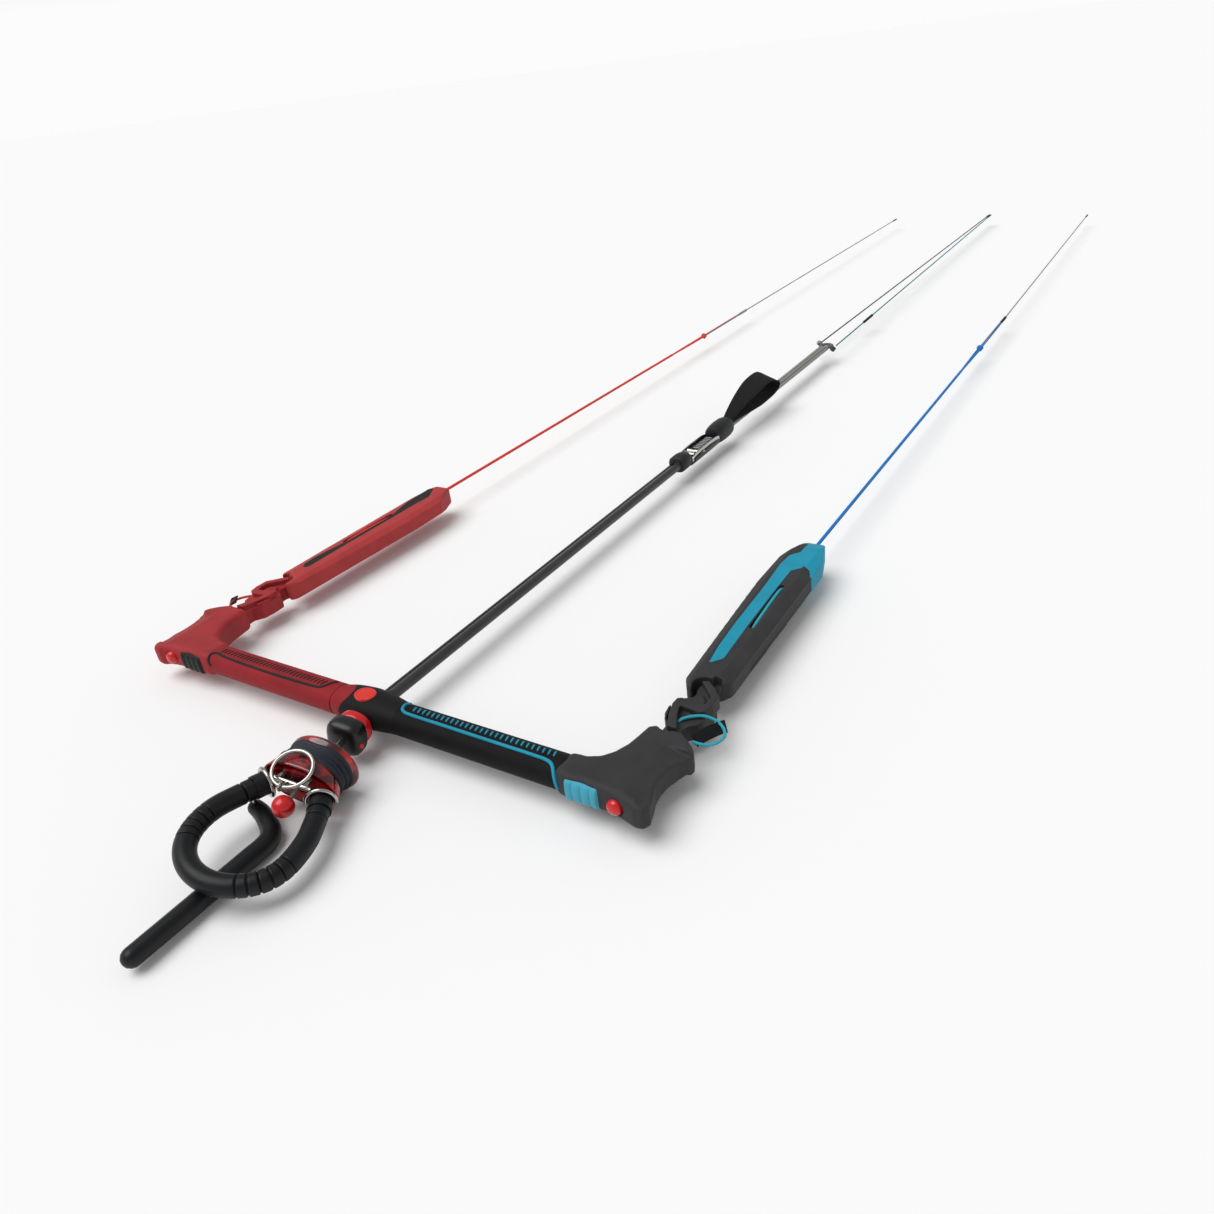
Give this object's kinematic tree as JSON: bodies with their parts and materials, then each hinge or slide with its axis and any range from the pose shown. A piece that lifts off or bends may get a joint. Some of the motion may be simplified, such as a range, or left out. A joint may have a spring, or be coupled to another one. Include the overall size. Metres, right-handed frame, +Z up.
{
  "type": "kitesurf control bar",
  "caption": "Kitesurf control bar with foam grips, folding floats, depower line with cleat and pull strap, quick release, chicken loop and the first stretch of the flying lines.",
  "frame": {"origin": "centre of the hub's flat underside, on the bar's middle; the bar's axis runs 14 mm above it", "axes": "+X along the bar to the rider's right hand, the grey end; +Y away from the rider along the lines towards the kite; +Z up, out of the side with the round cap"},
  "size_m": [0.551, 2.3488, 0.0589],
  "materials": {
    "hub": "fine grained",
    "bushing": "smooth",
    "cap": "gloss red",
    "tube": "anodised",
    "grip_left": "matte foam",
    "grip_right": "matte foam",
    "trim_left": "matte",
    "trim_right": "matte",
    "end_left": "satin",
    "end_right": "satin",
    "pad_left": "matte",
    "pad_right": "matte",
    "button": "gloss",
    "spring": "wire",
    "neck_left": "matte",
    "neck_right": "matte",
    "bungee_left": "braided",
    "bungee_right": "braided",
    "tab": "woven",
    "float_left": "matte foam",
    "float_right": "matte foam",
    "strip_left": "matte foam",
    "strip_right": "matte foam",
    "leader_left": "braided",
    "leader_right": "braided",
    "line": "braided",
    "line_end": "braided",
    "cover": "smooth tube",
    "core": "braided",
    "steel": "polished",
    "collar": "fine grained",
    "webbing": "woven",
    "trim_line": "braided",
    "ring": "smooth",
    "front_left": "braided",
    "front_right": "braided",
    "stopper": "satin",
    "stopper_red": "gloss",
    "body": "smooth",
    "hood": "translucent red",
    "hood_grip": "matte",
    "chrome": "polished",
    "ball": "gloss",
    "hose": "satin",
    "ferrule": "satin"
  },
  "bodies": {
    "centre_line": {"depower_cover": "cover", "depower_core": "core", "cleat_lower_collar": "collar", "cleat_frame": "steel", "cleat_jaw": "steel", "cleat_upper_collar": "collar", "trim_lines": "trim_line", "stopper_handle": "stopper", "stopper_collar": "stopper_red", "swivel_shaft": "steel"},
    "bar": {"centre_hub": "hub", "hub_bushing": "bushing", "centre_cap": "cap", "bar_tubes": "tube", "grip_left": "grip_left", "grip_right": "grip_right", "grip_trim_left": "trim_left", "grip_trim_right": "trim_right", "bar_end_left": "end_left", "bar_end_right": "end_right", "thumb_pad_left": "pad_left", "thumb_pad_right": "pad_right", "button_spring_left": "spring", "button_spring_right": "spring"},
    "button_left": {"end_button_left": "button"},
    "button_right": {"end_button_right": "button"},
    "neck_link_left": {"neck_left": "neck_left"},
    "neck_link_right": {"neck_right": "neck_right"},
    "bungee_loop_left": {"bungee_left": "bungee_left", "bungee_tab_left": "tab"},
    "bungee_loop_right": {"bungee_right": "bungee_right", "bungee_tab_right": "tab"},
    "float_body_left": {"float_left": "float_left", "float_strip_left": "strip_left", "leader_inner_left": "leader_left"},
    "float_body_right": {"float_right": "float_right", "float_strip_right": "strip_right", "leader_inner_right": "leader_right"},
    "steering_line_left": {"leader_left": "leader_left", "pigtail_left": "leader_left", "flying_line_left": "line"},
    "steering_line_right": {"leader_right": "leader_right", "pigtail_right": "leader_right", "flying_line_right": "line"},
    "handle": {"trim_handle": "webbing"},
    "front_lines": {"splitter_ring": "ring", "front_line_left": "front_left", "front_line_right": "front_right"},
    "release": {"release_body": "body", "shackle": "chrome", "hood_spring": "spring"},
    "hood": {"release_hood": "hood", "hood_grip": "hood_grip"},
    "ring": {"leash_ring": "chrome"},
    "ball": {"stopper_ball": "ball"},
    "loop": {"chicken_loop": "hose", "loop_ferrules": "ferrule", "finger_screw": "steel"},
    "finger": {"chicken_finger": "hose"}
  },
  "joints": [
    {"name": "bar_slide", "type": "slide", "parent": "centre_line", "child": "bar", "axis": [0, 1, 0], "range_m": [0, 0.498]},
    {"name": "end_button_left_press", "type": "slide", "parent": "bar", "child": "button_left", "axis": [0, 1, 0], "range_m": [0, 0.003], "stiffness_N_per_m": 600, "deforming": ["button_spring_left"]},
    {"name": "neck_bend_left", "type": "hinge", "parent": "bar", "child": "neck_link_left", "pos_m": [-0.235, 0.066, 0.014], "axis": [0, 0, 1], "range_deg": [-12, 12], "stiffness_Nm_per_rad": 0.6},
    {"name": "float_bend_left", "type": "hinge", "parent": "neck_link_left", "child": "float_body_left", "pos_m": [-0.235, 0.12, 0.014], "axis": [0, 0, 1], "range_deg": [-12, 12], "stiffness_Nm_per_rad": 0.6},
    {"name": "leader_turn_left", "type": "hinge", "parent": "float_body_left", "child": "steering_line_left", "pos_m": [-0.2285, 0.3662, 0.014], "axis": [0, 0, 1], "range_deg": [-24, 24]},
    {"name": "bungee_fold_left", "type": "hinge", "parent": "neck_link_left", "child": "bungee_loop_left", "pos_m": [-0.251, 0.085, 0.014], "axis": [0, 1, 0], "range_deg": [0, 45]},
    {"name": "end_button_right_press", "type": "slide", "parent": "bar", "child": "button_right", "axis": [0, 1, 0], "range_m": [0, 0.003], "stiffness_N_per_m": 600, "deforming": ["button_spring_right"]},
    {"name": "neck_bend_right", "type": "hinge", "parent": "bar", "child": "neck_link_right", "pos_m": [0.235, 0.066, 0.014], "axis": [0, 0, 1], "range_deg": [-12, 12], "stiffness_Nm_per_rad": 0.6},
    {"name": "float_bend_right", "type": "hinge", "parent": "neck_link_right", "child": "float_body_right", "pos_m": [0.235, 0.12, 0.014], "axis": [0, 0, 1], "range_deg": [-12, 12], "stiffness_Nm_per_rad": 0.6},
    {"name": "leader_turn_right", "type": "hinge", "parent": "float_body_right", "child": "steering_line_right", "pos_m": [0.2285, 0.3662, 0.014], "axis": [0, 0, 1], "range_deg": [-24, 24]},
    {"name": "bungee_fold_right", "type": "hinge", "parent": "neck_link_right", "child": "bungee_loop_right", "pos_m": [0.251, 0.085, 0.014], "axis": [0, -1, 0], "range_deg": [0, 45]},
    {"name": "trim_slide", "type": "slide", "parent": "centre_line", "child": "front_lines", "axis": [0, -1, 0], "range_m": [0, 0.12], "deforming": ["trim_lines"]},
    {"name": "handle_swing", "type": "hinge", "parent": "centre_line", "child": "handle", "pos_m": [0, 0.6568, 0.0225], "axis": [1, 0, 0], "range_deg": [0, 60]},
    {"name": "release_swivel", "type": "hinge", "parent": "centre_line", "child": "release", "pos_m": [0, 0, 0.014], "axis": [0.1736, -0.9848, 0], "continuous": true},
    {"name": "hood_slide", "type": "slide", "parent": "release", "child": "hood", "axis": [-0.1736, 0.9848, 0], "range_m": [0, 0.0075], "stiffness_N_per_m": 900, "deforming": ["hood_spring"]},
    {"name": "loop_open", "type": "hinge", "parent": "release", "child": "loop", "pos_m": [-0.00525, -0.10326, 0.01807], "axis": [0.2877, 0.9545, -0.0792], "range_deg": [0, 75]},
    {"name": "finger_swing", "type": "hinge", "parent": "loop", "child": "finger", "pos_m": [-0.00999, -0.11397, 0.00145], "axis": [0.171, 0.0302, 0.9848], "range_deg": [-25, 20]},
    {"name": "leash_ring_swing", "type": "hinge", "parent": "release", "child": "ring", "pos_m": [0.02049, -0.10795, 0.02789], "axis": [0.9698, 0.171, -0.1736], "range_deg": [0, 140]},
    {"name": "ball_slide", "type": "slide", "parent": "release", "child": "ball", "axis": [0.1736, -0.9848, 0], "range_m": [0, 0.03]}
  ],
  "couplings": [
    {"joint": "float_bend_left", "follows": "neck_bend_left", "ratio": 1},
    {"joint": "leader_turn_left", "follows": "neck_bend_left", "ratio": -2},
    {"joint": "float_bend_right", "follows": "neck_bend_right", "ratio": 1},
    {"joint": "leader_turn_right", "follows": "neck_bend_right", "ratio": -2}
  ]
}
